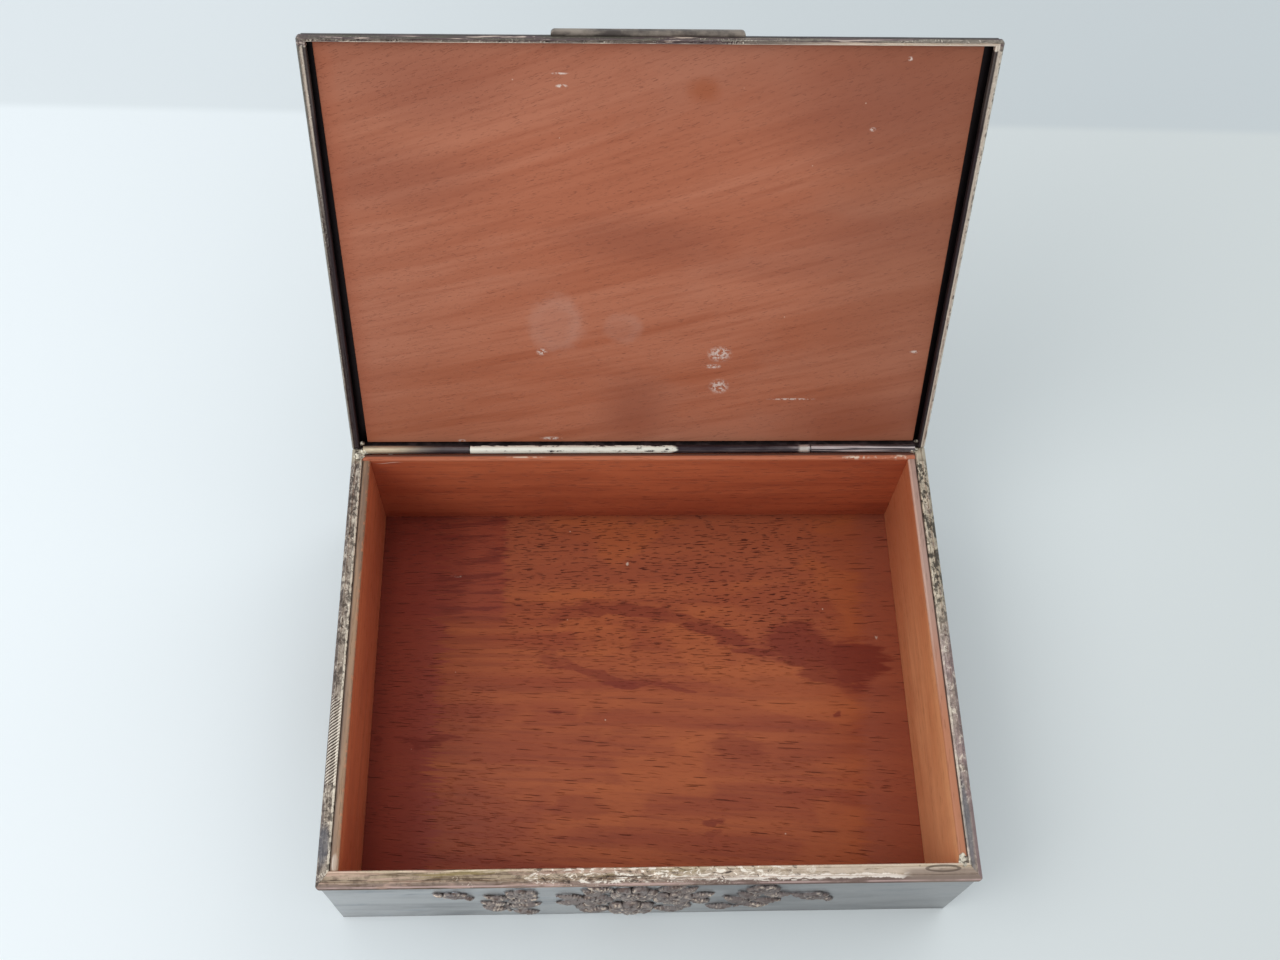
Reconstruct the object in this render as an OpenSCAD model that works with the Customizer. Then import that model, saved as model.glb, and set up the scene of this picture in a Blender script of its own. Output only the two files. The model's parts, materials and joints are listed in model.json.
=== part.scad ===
// Low metal casket with a wood lining and a hinged, wood-lined lid.
// Metal plates and rim mouldings wrap a box of thin boards. The lid is a shallow metal tray that
// turns on a three-knuckle hinge let into the back edge, and it is drawn open, at its stop.
// Millimetres, +Z up, +X to the right of someone who faces the front, which looks along -Y.
// The origin is the middle of the flat underside.

/* [Body] */
// Width over the rim mouldings
body_w = 200; // [160:1:260]
// Depth over the rim mouldings
body_d = 150; // [110:1:200]
// Height of the body without its lid
body_h = 50; // [36:1:80]
// Thickness of the wall plates
wall_t = 1; // [0.8:0.1:1.4]
// Thickness of the base plate
base_t = 1.2; // [0.8:0.1:2.4]
// How far the rim mouldings stand out over the wall plates
rim_proud = 1; // [0.6:0.1:1.4]

/* [Rim mouldings] */
// Height of every rim moulding
rim_h = 2; // [1.6:0.1:2.6]
// Width of the body's side mouldings
side_rim_w = 3.9; // [3.2:0.1:4.8]
// Width of the lid's side mouldings
lid_rim_w = 2.8; // [2.2:0.1:3.2]
// Width of the lid's front moulding
lid_front_rim_w = 1.6; // [1.4:0.1:2.6]
// Width of the slope on the outer edge of the body's mouldings
body_slope_w = 1.6; // [0.8:0.1:2]
// Width of the slope on the outer edge of the lid's mouldings
lid_slope_w = 0.6; // [0.4:0.1:1]
// Drop of the slope on the outer edge of a moulding
slope_drop = 1.1; // [0.6:0.1:1.4]
// Radius of the mouldings' upright corners
rim_corner_r = 1.5; // [1:0.1:2]

/* [Lining] */
// Thickness of the front board, which the front moulding covers
front_board_t = 3.4; // [2.4:0.1:4.4]
// Thickness of the back board
back_board_t = 3.9; // [3.4:0.1:5]
// Thickness of the side boards
side_board_t = 4.6; // [3.8:0.1:5.4]
// Thickness of the floor board
floor_board_t = 4.3; // [2.4:0.1:6]
// How far the boards' lips lie under the top of the rim
lip_drop = 0.3; // [0.2:0.05:0.8]
// Radius of the rounded inner edge of the lips
lip_r = 0.8; // [0.3:0.1:1]
// Gap between a board and a moulding beside it
board_gap = 0.15; // [0.1:0.05:0.3]

/* [Hinge] */
// Outer diameter of the knuckles
knuckle_d = 2.8; // [2.4:0.1:3.4]
// Diameter of the pin
pin_d = 1.2; // [1:0.1:1.6]
// Running clearance round the pin
pin_gap = 0.05; // [0.03:0.01:0.09]
// Length of each of the body's two end knuckles
end_knuckle_l = 36.5; // [20:0.5:50]
// Gap between neighbouring knuckles, and between a knuckle and the parts that turn past it
knuckle_gap = 0.3; // [0.3:0.05:0.4]
// Height of the gap between the rims when the lid is shut
part_gap = 0.3; // [0.3:0.05:0.6]
// Angle that the lid opens to, at its stop
lid_angle = 112; // [100:1:120]
// Gap left between the two stop edges when the lid is open
stop_gap = 0.33; // [0.3:0.01:0.5]

/* [Lid] */
// Thickness of the lid's top plate
lid_plate_t = 1; // [0.8:0.1:1.6]
// How far the lid stands out past the body at the front
lid_overhang = 0.3; // [0:0.1:1]
// Thickness of the wood panel
panel_t = 1.8; // [1.4:0.1:4]
// Depth of the wood panel's face behind the lid's rim
panel_recess = 2.3; // [2.1:0.05:4]
// Gap between the wood panel and the side flanges
panel_side_gap = 2.4; // [1:0.1:4]
// Gap between the wood panel and the front flange
panel_front_gap = 0.3; // [0.2:0.1:3]
// Gap between the wood panel and the hinge axis
panel_hinge_gap = 1.4; // [1.2:0.1:4]
// Radius of the wall plates' and the lid's upright corners
corner_r = 0.8; // [0.4:0.1:0.8]

/* [Thumb tab] */
// Width of the thumb tab
tab_w = 55; // [30:1:90]
// How far the thumb tab lies to the left of the middle
tab_shift = 1.3; // [0:0.1:4]
// How far the thumb tab stands out past the rim
tab_reach = 1.4; // [1:0.1:3.4]
// Thickness of the thumb tab
tab_t = 1.9; // [1:0.1:2.2]
// Radius of the thumb tab's corners
tab_corner_r = 1.2; // [0.6:0.1:1.8]

/* [Raised flowers] */
// Height of a rose over the plate, as a share of the rose's radius
rose_rise = 0.36; // [0.2:0.01:0.4]
// Number of petals in a rose's outer ring
outer_petals = 6; // [5:1:8]
// Number of petals in a rose's inner ring
inner_petals = 5; // [4:1:6]
// Height of a leaf over the plate
leaf_h = 1.4; // [0.6:0.1:1.8]
// Width of a leaf, as a share of its length
leaf_width = 0.46; // [0.3:0.01:0.6]
// Radius of a stem
stem_r = 0.6; // [0.4:0.05:0.8]
// How far the front wall's flowers lie to the left of its middle
flower_shift = 4; // [0:0.5:8]
// Distance between the middle bouquet and the sprays on the front wall
spray_spacing = 36; // [34:0.5:44]
// Distance between the middle bouquet and the lone blossoms on the front wall
blossom_spacing = 57; // [52:0.5:64]
// How much larger the flowers on the lid are than those on the walls
lid_flower_scale = 1.3; // [1.2:0.1:1.8]
// Radius of the bead round the lid's top
border_r = 0.7; // [0.5:0.1:1]
// Distance from the lid's edge to the bead
border_inset = 7; // [5:0.5:12]

/* [Hidden] */
$fn = 48;

silver = "lightslategray";
silver_worn = "darkkhaki";
wood = "sienna";
wood_pale = "rosybrown";

// Outer faces of the wall plates, and the inner faces of walls and boards
wall_x = body_w / 2 - rim_proud;
wall_y = body_d / 2 - rim_proud;
in_wall_x = wall_x - wall_t;
in_wall_y = wall_y - wall_t;
room_x = in_wall_x - side_board_t;
room_front_y = -in_wall_y + front_board_t;
room_back_y = in_wall_y - back_board_t;
front_rim_w = rim_proud + wall_t + front_board_t;
rim_seat_z = body_h - rim_h;
lip_z = body_h - lip_drop;
side_lip_x = body_w / 2 - side_rim_w - board_gap;

// The hinge axis. The edges of the back wall and of the lid's back flange lie edge_drop below and
// above it, and edge_out behind it. They meet where the lid stops.
knuckle_r = knuckle_d / 2;
bore_r = pin_d / 2 + pin_gap;
edge_drop = knuckle_r + knuckle_gap;
stop_lead = asin(stop_gap / 2 * sin(lid_angle / 2) / edge_drop);
edge_out = edge_drop / tan(lid_angle / 2 + stop_lead);
axis_y = wall_y - edge_out;
axis_z = body_h + part_gap / 2;
back_wall_top = axis_z - edge_drop;
back_lip_y = axis_y - edge_drop;
barrel_half = body_w / 2 - side_rim_w - board_gap;
lid_knuckle_half = barrel_half - end_knuckle_l - knuckle_gap;
foot_w = edge_out * 0.9;
tail_y = wall_y - board_gap;

// Heights in the shut lid
lid_z = body_h + part_gap;
flange_z = lid_z + rim_h;
plate_z = lid_z + panel_recess + panel_t;
lid_back_z = axis_z + edge_drop;
lid_front_y = -body_d / 2 - lid_overhang;
lid_wall_y = lid_front_y + rim_proud;
lid_in_y = lid_wall_y + wall_t;
panel_x = in_wall_x - panel_side_gap;
panel_front_y = lid_in_y + panel_front_gap;
panel_back_y = axis_y - panel_hinge_gap;

// How deep the raised work is rooted in its plate
root = 0.4;
far = 400;
mitre_reach = 30;

// Turns what it holds from the shut lid's place to the open lid's
module opened() {
    translate([0, axis_y, axis_z]) rotate([-lid_angle, 0, 0]) translate([0, -axis_y, -axis_z])
        children();
}

// A block from its low corner to its high corner
module block(low, high) {
    translate(low) cube(high - low);
}

// A plate between two heights, half_x to each side and from y0 to y1, with rounded upright edges
module rounded_plate(half_x, y0, y1, z0, z1, r) {
    translate([0, 0, z0]) linear_extrude(z1 - z0) union() {
        translate([r - half_x, y0]) square([2 * half_x - 2 * r, y1 - y0]);
        translate([-half_x, y0 + r]) square([2 * half_x, y1 - y0 - 2 * r]);
        for (sx = [-1, 1], y = [y0 + r, y1 - r]) translate([sx * (half_x - r), y]) circle(r);
    }
}

// Rim moulding along X, its outer edge on the line y = 0 and its flat face at z = 0, with the rest
// above it
module moulding(len, w, slope_w) {
    translate([-len / 2, 0, 0]) rotate([90, 0, 90]) linear_extrude(len)
        polygon([[slope_w, 0], [w, 0], [w, rim_h], [0, rim_h], [0, slope_drop]]);
}

// Front moulding of the body or the lid, its outer edge at front_y, mitred at both ends against
// side mouldings side_w wide
module front_moulding(front_y, w, side_w, slope_w) {
    difference() {
        intersection() {
            translate([0, front_y, 0]) moulding(body_w, w, slope_w);
            rounded_plate(body_w / 2, front_y, body_d / 2, -1, rim_h + 1, rim_corner_r);
        }
        past_mitre(front_y, atan2(w, side_w), 0);
        mirror([1, 0, 0]) past_mitre(front_y, atan2(w, side_w), 0);
    }
}

// Left moulding of the body or the lid, mitred at the front and square at back_y
module left_moulding(front_y, back_y, w, front_w, slope_w) {
    difference() {
        intersection() {
            translate([-body_w / 2, (back_y + front_y) / 2, 0]) rotate([0, 0, -90])
                moulding(back_y - front_y, w, slope_w);
            rounded_plate(body_w / 2, front_y, body_d, -1, rim_h + 1, rim_corner_r);
        }
        past_mitre(front_y, atan2(front_w, w), -mitre_reach);
    }
}

// What lies on one side of the mitre line, which leaves the front left corner at an angle
module past_mitre(front_y, angle, side_y) {
    translate([-body_w / 2, front_y, -1]) rotate([0, 0, angle])
        translate([-mitre_reach, side_y, 0]) cube([2 * mitre_reach, mitre_reach, rim_h + 2]);
}

// A rounded swelling of radius a and height h on the plate, cut from a ball that sinks into it
module swelling(a, h) {
    ball_r = (a * a + h * h) / (2 * h);
    translate([0, 0, h - ball_r]) sphere(ball_r);
}

// Two rings of petals round a button
module rose(r) {
    h = r * rose_rise;
    intersection() {
        union() {
            for (i = [0 : outer_petals - 1]) rotate([0, 0, i * 360 / outer_petals])
                translate([0.62 * r, 0, 0]) swelling(0.4 * r, 0.7 * h);
            for (i = [0 : inner_petals - 1]) rotate([0, 0, (i + 0.3) * 360 / inner_petals])
                translate([0.3 * r, 0, 0]) swelling(0.28 * r, 0.9 * h);
            swelling(0.2 * r, h);
        }
        translate([0, 0, -root]) cylinder(h = far, r = 1.1 * r);
    }
}

// A pointed leaf from the origin along +X, domed by a large ball. Its tips stand at a third of its
// height.
module leaf(len, w) {
    side_r = (len * len + w * w) / (4 * w);
    dome = leaf_h * 2 / 3;
    ball_r = (len * len / 4 + dome * dome) / (2 * dome);
    translate([len / 2, 0, 0]) intersection() {
        translate([0, 0, -root]) linear_extrude(root + leaf_h) intersection() {
            translate([0, side_r - w / 2]) circle(side_r);
            translate([0, w / 2 - side_r]) circle(side_r);
        }
        translate([0, 0, leaf_h - ball_r]) sphere(ball_r);
    }
}

// A stem that leaves the origin along +X and bends to the left over an angle
module stem(bend_r, angle) {
    intersection() {
        translate([0, bend_r, 0]) rotate([0, 0, -90]) rotate_extrude(angle = angle)
            translate([bend_r, 0]) circle(stem_r, $fn = 24);
        translate([-far / 2, -far / 2, -root]) cube([far, far, far]);
    }
}

// Leaves in a list, each with its place, its turn and its length
module leaves(list) {
    for (l = list) translate([l[0], l[1], 0]) rotate([0, 0, l[2]]) leaf(l[3], leaf_width * l[3]);
}

// A bent stem with a small rose and leaves, about 22 wide and 34 high
module spray() {
    translate([4, -16, 0]) rotate([0, 0, 80]) stem(40, 38);
    translate([-0.5, 11, 0]) rose(5.2);
    leaves([[4.5, -12, 25, 9], [4.5, -8, 158, 12], [4.4, -4, 20, 9], [3.8, -1, 150, 11], [3.4, 4, 30, 9],
        [3, -15, 200, 9]]);
}

// The middle bouquet: four roses in a bed of leaves, about 54 wide and 42 high
module bouquet() {
    translate([-0.8, 10.6, 0]) rose(8.2);
    translate([-1.4, -11, 0]) rose(8.6);
    translate([-14, 1.6, 0]) rose(6.2);
    translate([12.8, 3.4, 0]) rose(7.2);
    leaves([[-7.5, 14, 150, 11], [-12, 7.5, 128, 11], [-18, 4.5, 165, 10], [-18, -1, 192, 10],
        [-13, -4, 222, 11], [-8.5, -13, 196, 12], [7, 14.5, 28, 11], [14, 10, 48, 10], [18.5, 5.5, 14, 9],
        [18, -0.5, -18, 9], [13, -4, -48, 11], [6.5, -13, -14, 12]]);
}

// A lone rose of radius r between two leaves
module blossom(r) {
    rose(r);
    leaves([[0.8 * r, -0.3 * r, -24, 1.5 * r], [-0.8 * r, -0.4 * r, 206, 1.4 * r]]);
}

// Puts flat work, drawn in x and y with its height along z, on the outside of the front wall
module on_front(x, z) {
    translate([x, -wall_y, z]) rotate([90, 0, 0]) children();
}

// Puts such work on the outside of the left (-1) or right (1) wall
module on_side(side, z) {
    translate([side * wall_x, 0, z]) rotate([90, 0, side * 90]) children();
}

module front_wall() {
    mid_z = rim_seat_z / 2;
    color(silver) union() {
        end_plate(-wall_y, -in_wall_y, 0, rim_seat_z);
        on_front(-flower_shift, mid_z) bouquet();
        on_front(-flower_shift - spray_spacing, mid_z) mirror([1, 0, 0]) spray();
        on_front(-flower_shift + spray_spacing, mid_z) spray();
        on_front(-flower_shift - blossom_spacing, mid_z + 13) blossom(4.8);
        on_front(-flower_shift + blossom_spacing, mid_z + 3) blossom(5.6);
    }
}

// A plate as wide as the walls that runs from y0 to y1, with its outer upright edges rounded
module end_plate(y0, y1, z0, z1) {
    reach = 2 * corner_r;
    intersection() {
        rounded_plate(wall_x, min(y0, -reach), max(y1, reach), z0, z1, corner_r);
        block([-wall_x, y0, z0], [wall_x, y1, z1]);
    }
}

module back_wall() {
    color(silver) end_plate(in_wall_y, wall_y, 0, back_wall_top);
}

module side_wall(side) {
    color(silver) union() {
        block([min(side * wall_x, side * in_wall_x), -in_wall_y, 0],
            [max(side * wall_x, side * in_wall_x), in_wall_y, rim_seat_z]);
        on_side(side, rim_seat_z / 2) bouquet();
    }
}

module left_wall() side_wall(-1);

module right_wall() side_wall(1);

module base_plate() {
    color(silver) block([-in_wall_x, -in_wall_y, 0], [in_wall_x, in_wall_y, base_t]);
}

module front_rim() {
    color(silver_worn) translate([0, 0, body_h]) mirror([0, 0, 1])
        front_moulding(-body_d / 2, front_rim_w, side_rim_w, body_slope_w);
}

// The side mouldings run on over the back wall's ends, where they are cut back from the lid's swing
module side_rim() {
    difference() {
        translate([0, 0, body_h]) mirror([0, 0, 1])
            left_moulding(-body_d / 2, tail_y, side_rim_w, front_rim_w, body_slope_w);
        block([-body_w, in_wall_y, 0], [0, body_d, back_wall_top]);
        translate([-body_w, axis_y, axis_z]) rotate([90 - lid_angle, 0, 0])
            translate([0, 0, -knuckle_gap]) cube([body_w, far, far]);
    }
}

module left_rim() {
    color(silver_worn) side_rim();
}

module right_rim() {
    color(silver_worn) mirror([1, 0, 0]) side_rim();
}

module front_lining() {
    color(wood) block([-in_wall_x, -in_wall_y, base_t], [in_wall_x, room_front_y, rim_seat_z]);
}

// What is taken off a board's edge to round it. The edge is the X axis, and the board lies behind
// and below it.
module round_off(len) {
    rotate([90, 0, 90]) linear_extrude(len) difference() {
        translate([-lip_r, -lip_r]) square(2 * lip_r);
        translate([lip_r, -lip_r]) circle(lip_r);
    }
}

module back_lining() {
    color(wood) difference() {
        union() {
            block([-in_wall_x, room_back_y, base_t], [in_wall_x, in_wall_y, rim_seat_z]);
            block([-side_lip_x, room_back_y, base_t], [side_lip_x, back_lip_y, lip_z]);
        }
        translate([-room_x, room_back_y, lip_z]) round_off(2 * room_x);
    }
}

module side_lining(side) {
    color(wood) mirror([side < 0 ? 1 : 0, 0, 0]) difference() {
        union() {
            block([room_x, room_front_y, base_t], [in_wall_x, room_back_y, rim_seat_z]);
            block([room_x, room_front_y, base_t], [side_lip_x, room_back_y, lip_z]);
        }
        translate([room_x, room_back_y, lip_z]) rotate([0, 0, -90]) round_off(room_back_y - room_front_y);
    }
}

module left_lining() side_lining(-1);

module right_lining() side_lining(1);

module floor_board() {
    color(wood) block([-room_x, room_front_y, base_t], [room_x, room_back_y, base_t + floor_board_t]);
}

// A knuckle from x0 to x1 on the hinge axis. Its foot reaches the edge that carries it, below the
// axis on the body and above it on the shut lid.
module knuckle(x0, x1, up) {
    foot_low = up ? 0 : -edge_drop;
    difference() {
        union() {
            translate([x0, axis_y, axis_z]) rotate([0, 90, 0]) cylinder(h = x1 - x0, r = knuckle_r);
            block([x0, axis_y, axis_z + foot_low], [x1, axis_y + foot_w, axis_z + foot_low + edge_drop]);
        }
        translate([x0 - 1, axis_y, axis_z]) rotate([0, 90, 0]) cylinder(h = x1 - x0 + 2, r = bore_r);
    }
}

module left_knuckle() {
    color(silver) knuckle(-barrel_half, -barrel_half + end_knuckle_l, false);
}

module right_knuckle() {
    color(silver) knuckle(barrel_half - end_knuckle_l, barrel_half, false);
}

module lid_knuckle() {
    color(silver_worn) opened() knuckle(-lid_knuckle_half, lid_knuckle_half, true);
}

module hinge_pin() {
    color("dimgray") translate([-barrel_half, axis_y, axis_z]) rotate([0, 90, 0])
        cylinder(h = 2 * barrel_half, r = pin_d / 2);
}

module lid_plate() {
    top = plate_z + lid_plate_t;
    border_x = body_w / 2 - border_inset;
    border_front = lid_front_y + border_inset;
    border_back = body_d / 2 - border_inset;
    mid_y = (lid_wall_y + wall_y) / 2;
    color(silver) opened() union() {
        rounded_plate(wall_x, lid_wall_y, wall_y, plate_z, top, corner_r);
        for (y = [border_front, border_back])
            translate([-border_x, y, top]) rotate([0, 90, 0]) cylinder(h = 2 * border_x, r = border_r);
        for (s = [-1, 1]) translate([s * border_x, border_back, top]) rotate([90, 0, 0])
            cylinder(h = border_back - border_front, r = border_r);
        translate([0, mid_y, top]) scale(lid_flower_scale) bouquet();
        for (s = [-1, 1]) translate([s * lid_flower_scale * spray_spacing, mid_y, top])
            mirror([s < 0 ? 1 : 0, 0, 0]) scale(lid_flower_scale) spray();
    }
}

module lid_front_flange() {
    color(silver) opened() end_plate(lid_wall_y, lid_in_y, flange_z, plate_z);
}

module lid_back_flange() {
    color(silver) opened() end_plate(in_wall_y, wall_y, lid_back_z, plate_z);
}

module lid_left_flange() {
    color(silver) opened() block([-wall_x, lid_in_y, flange_z], [-in_wall_x, in_wall_y, plate_z]);
}

module lid_right_flange() {
    color(silver) opened() block([in_wall_x, lid_in_y, flange_z], [wall_x, in_wall_y, plate_z]);
}

module lid_front_rim() {
    color(silver_worn) opened() translate([0, 0, lid_z])
        front_moulding(lid_front_y, lid_front_rim_w, lid_rim_w, lid_slope_w);
}

module lid_left_rim() {
    color(silver_worn) opened() translate([0, 0, lid_z])
        left_moulding(lid_front_y, in_wall_y, lid_rim_w, lid_front_rim_w, lid_slope_w);
}

module lid_right_rim() {
    color(silver_worn) opened() mirror([1, 0, 0]) translate([0, 0, lid_z])
        left_moulding(lid_front_y, in_wall_y, lid_rim_w, lid_front_rim_w, lid_slope_w);
}

module lid_panel() {
    color(wood_pale) opened()
        block([-panel_x, panel_front_y, plate_z - panel_t], [panel_x, panel_back_y, plate_z]);
}

// The tab lies on the front moulding's ledge, against the front flange
module thumb_tab() {
    front = lid_front_y - tab_reach;
    color(silver) opened() translate([-tab_shift, 0, flange_z]) linear_extrude(tab_t) union() {
        translate([-tab_w / 2, front + tab_corner_r]) square([tab_w, lid_wall_y - front - tab_corner_r]);
        translate([-tab_w / 2 + tab_corner_r, front]) square([tab_w - 2 * tab_corner_r, tab_corner_r]);
        for (s = [-1, 1]) translate([s * (tab_w / 2 - tab_corner_r), front + tab_corner_r])
            circle(tab_corner_r);
    }
}

front_wall();
back_wall();
left_wall();
right_wall();
base_plate();
front_rim();
left_rim();
right_rim();
front_lining();
back_lining();
left_lining();
right_lining();
floor_board();
left_knuckle();
right_knuckle();
hinge_pin();
lid_plate();
lid_front_flange();
lid_back_flange();
lid_left_flange();
lid_right_flange();
lid_front_rim();
lid_left_rim();
lid_right_rim();
lid_knuckle();
lid_panel();
thumb_tab();
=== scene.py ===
"""A low silver-plated casket, lined with mahogany, with its lid open on a table."""
import json
from math import cos, pi, radians, sin

import bpy
import numpy as np
from mathutils import Matrix, Vector


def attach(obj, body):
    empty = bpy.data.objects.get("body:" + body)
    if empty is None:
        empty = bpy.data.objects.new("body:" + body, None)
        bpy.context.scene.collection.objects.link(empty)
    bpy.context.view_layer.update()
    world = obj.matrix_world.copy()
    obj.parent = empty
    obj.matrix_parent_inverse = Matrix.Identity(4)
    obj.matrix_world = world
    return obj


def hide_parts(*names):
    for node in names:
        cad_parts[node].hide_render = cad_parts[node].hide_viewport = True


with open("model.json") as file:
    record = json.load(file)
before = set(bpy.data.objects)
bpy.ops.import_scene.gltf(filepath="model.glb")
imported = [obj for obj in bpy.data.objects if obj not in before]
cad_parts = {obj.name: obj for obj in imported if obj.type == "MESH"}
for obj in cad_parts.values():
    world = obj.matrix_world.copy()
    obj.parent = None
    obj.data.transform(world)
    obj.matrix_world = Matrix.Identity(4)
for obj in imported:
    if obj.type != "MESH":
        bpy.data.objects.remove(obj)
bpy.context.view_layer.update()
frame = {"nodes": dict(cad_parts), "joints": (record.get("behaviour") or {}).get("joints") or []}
bpy.ops.object.select_all(action="DESELECT")
scene = bpy.context.scene


# Camera
# It stands in front of the casket and looks down into it, a little from the left and slightly
# rolled, at the height of someone who bends over the table. The focal length and the middle of the
# view are in pixels of the whole frame.
eye = Vector((-0.02023, -0.16016, 0.47601))
look_down = radians(61.698)
look_right = radians(4.103)
roll = radians(3.425)
picture_w, picture_h = 1280, 960
focal = 1395.8
middle_x, middle_y = 629.9, 460.4
sensor_mm = 36
ahead = Vector((sin(look_right) * cos(look_down),
                cos(look_right) * cos(look_down), -sin(look_down)))
level_right = Vector((cos(look_right), -sin(look_right), 0))
level_up = level_right.cross(ahead)
cam_right = level_right * cos(roll) + level_up * sin(roll)
cam_up = level_up * cos(roll) - level_right * sin(roll)
bpy.ops.object.camera_add()
camera = bpy.context.object
camera.data.sensor_width = sensor_mm
camera.data.lens = focal / picture_w * sensor_mm
camera.data.shift_x = (picture_w / 2 - middle_x) / picture_w
camera.data.shift_y = (middle_y - picture_h / 2) / picture_w
camera.data.clip_start = 0.01
facing = Matrix((cam_right, cam_up, -ahead)).transposed()
camera.matrix_world = Matrix.Translation(eye) @ facing.to_4x4()
scene.camera = camera
scene.view_settings.view_transform = "Standard"


# Table and light
# A pale, matt table top, lit by a broad soft lamp from the upper left and by a weaker one from the
# right, in an even pale room. Its colour carries painted shade that greys it towards the right,
# away from the lamp, and a greyer band behind where the wall stands, painted darker to the right as
# well.
class Wire:
    """One output of a shader node. Sums and products of wires add the nodes that work them out."""
    def __init__(self, finish, socket):
        self.finish = finish
        self.socket = socket

    def maths(self, operation, *others):
        return self.finish.add("Math", {"operation": operation}, dict(enumerate((self,) + others)))

    def __add__(self, other):
        return self.maths("ADD", other)

    __radd__ = __add__

    def __sub__(self, other):
        return self.maths("SUBTRACT", other)

    def __mul__(self, other):
        return self.maths("MULTIPLY", other)

    __rmul__ = __mul__

    def __truediv__(self, other):
        return self.maths("DIVIDE", other)

    def __pow__(self, other):
        return self.maths("POWER", other)

    def __rsub__(self, other):
        return self.finish.add("Math", {"operation": "SUBTRACT"}, {0: other, 1: self})

    def above(self, low, high):
        """0 below low, 1 above high, and a smooth step between them."""
        return self.finish.add("MapRange", {"interpolation_type": "SMOOTHSTEP"},
                               {"Value": self, "From Min": low, "From Max": high})

    def below(self, low, high):
        return 1 - self.above(low, high)

    def larger(self, other):
        return self.maths("MAXIMUM", other)


def linear(screen_colour):
    """Red, green and blue of a screen (0 to 255) as light, with a full alpha."""
    shares = [c / 255 for c in screen_colour]
    return (*(s / 12.92 if s < 0.0404 else ((s + 0.055) / 1.055) ** 2.4 for s in shares), 1)


class Painted:
    """Anything that shader nodes paint."""
    def __init__(self, painted):
        painted.use_nodes = True
        self.painted = painted
        self.tree = painted.node_tree
        self.tree.nodes.clear()

    def add(self, kind, settings={}, sockets={}, out=0):
        node = self.tree.nodes.new("ShaderNode" + kind)
        for key, value in settings.items():
            setattr(node, key, value)
        for key, value in sockets.items():
            if isinstance(value, Wire):
                self.tree.links.new(value.socket, node.inputs[key])
            else:
                node.inputs[key].default_value = value
        return Wire(self, node.outputs[out]) if node.outputs else None


class Finish(Painted):
    """A material, painted from places on the object in metres."""
    def __init__(self, name):
        super().__init__(bpy.data.materials.new(name))
        self.look_at(self.add("TexCoord", out="Object"))

    def look_at(self, spot):
        self.spot = spot
        self.x, self.y, self.z = (self.add("SeparateXYZ", sockets={0: spot}, out=letter)
                                  for letter in "XYZ")

    def coats(self, colour, *others):
        """A colour with others laid over it, each by its share (0 to 1)."""
        for over, share in others:
            under, over = (c if isinstance(c, Wire) else linear(c) for c in (colour, over))
            colour = self.add("Mix", {"data_type": "RGBA"}, {0: share, 6: under, 7: over}, out=2)
        return colour

    def clouds(self, cells, detail=3.0, rough=0.5, warp=0.0, seed=0.0, where=None):
        """Noise around 0.5, with so many cells to a metre, each way or along each axis."""
        cells = cells if isinstance(cells, tuple) else (cells, cells, cells)
        place = {"Vector": where or self.spot, "Scale": cells, "Location": (seed, seed, 0)}
        scaled = self.add("Mapping", {"vector_type": "POINT"}, place)
        return self.add("TexNoise", sockets={"Vector": scaled, "Scale": 1.0, "Detail": detail,
                                             "Roughness": rough, "Distortion": warp})

    def blot(self, centre, radii, soft=0.35, ragged=0.0, noise=None, upward=None):
        """1 in the middle of an oval patch (millimetres) and 0 outside it, drawn along X and Y, or
        along X and another wire."""
        across = (self.x - centre[0] * 0.001) / (radii[0] * 0.001)
        up = ((upward or self.y) - centre[1] * 0.001) / (radii[1] * 0.001)
        far = (across * across + up * up) ** 0.5
        if noise:
            far = far + (noise - 0.5) * ragged
        return far.below(1 - soft, 1 + soft)

    def dust(self, specks):
        """Small round specks, with so many cells to a metre."""
        near = self.add("TexVoronoi", {"feature": "F1"},
                        {"Vector": self.spot, "Scale": specks, "Randomness": 1.0}, out="Distance")
        return near.below(0.012, 0.024)

    def kept(self, name):
        """A value that the mesh keeps at its points."""
        return self.add("Attribute", {"attribute_name": name}, out="Fac")

    def finished(self, colour, roughness, metallic=0.0, height=None, depth=0.0002, gloss=0.5):
        """The material, with its bumps as deep as depth (metres)."""
        sockets = {"Base Color": colour, "Roughness": roughness, "Metallic": metallic,
                   "Specular IOR Level": gloss}
        if height:
            bump = {"Strength": 1.0, "Distance": depth, "Height": height}
            sockets["Normal"] = self.add("Bump", sockets=bump)
        self.add("OutputMaterial", sockets={"Surface": self.add("BsdfPrincipled", sockets=sockets)})
        return self.painted


bpy.ops.mesh.primitive_plane_add(size=6, location=(0, 0, 0))
table_top = bpy.context.object
table_top.name = "table_top"
pale = Finish("pale_table")
behind = (pale.y + pale.x * 0.022).above(0.2655, 0.2715)
# Painted shade: the top greys towards the right, away from the left lamp, and the band behind,
# standing for the wall, darkens to the right too.
pale_colour = pale.coats(
    (243, 249, 252),
    ((217, 222, 221), pale.x.above(-0.32, 0.34)),
    ((204, 211, 214), behind * (0.35 + pale.x.above(-0.2, 0.25) * 0.4)))
table_top.data.materials.append(pale.finished(pale_colour, 0.8))

room = Painted(bpy.data.worlds.new("pale_room"))
seen = room.add("LightPath", out="Is Camera Ray").larger(room.add("LightPath", out="Is Glossy Ray"))
seen = seen.larger(room.add("LightPath", out="Is Transmission Ray"))
strength = room.add("MapRange", sockets={"Value": seen, "To Min": 0.77, "To Max": 0.86})
sky = room.add("Background", sockets={"Color": (0.93, 0.97, 1, 1), "Strength": strength})
room.add("OutputWorld", sockets={"Surface": sky})
scene.world = room.painted


def lamp(place, aim, size, power, colour):
    bpy.ops.object.light_add(type="AREA", location=place)
    light = bpy.context.object
    light.data.shape = "SQUARE"
    light.data.size = size
    light.data.energy = power
    light.data.color = colour
    light.rotation_euler = (Vector(aim) - Vector(place)).to_track_quat("-Z", "Y").to_euler()


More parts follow.
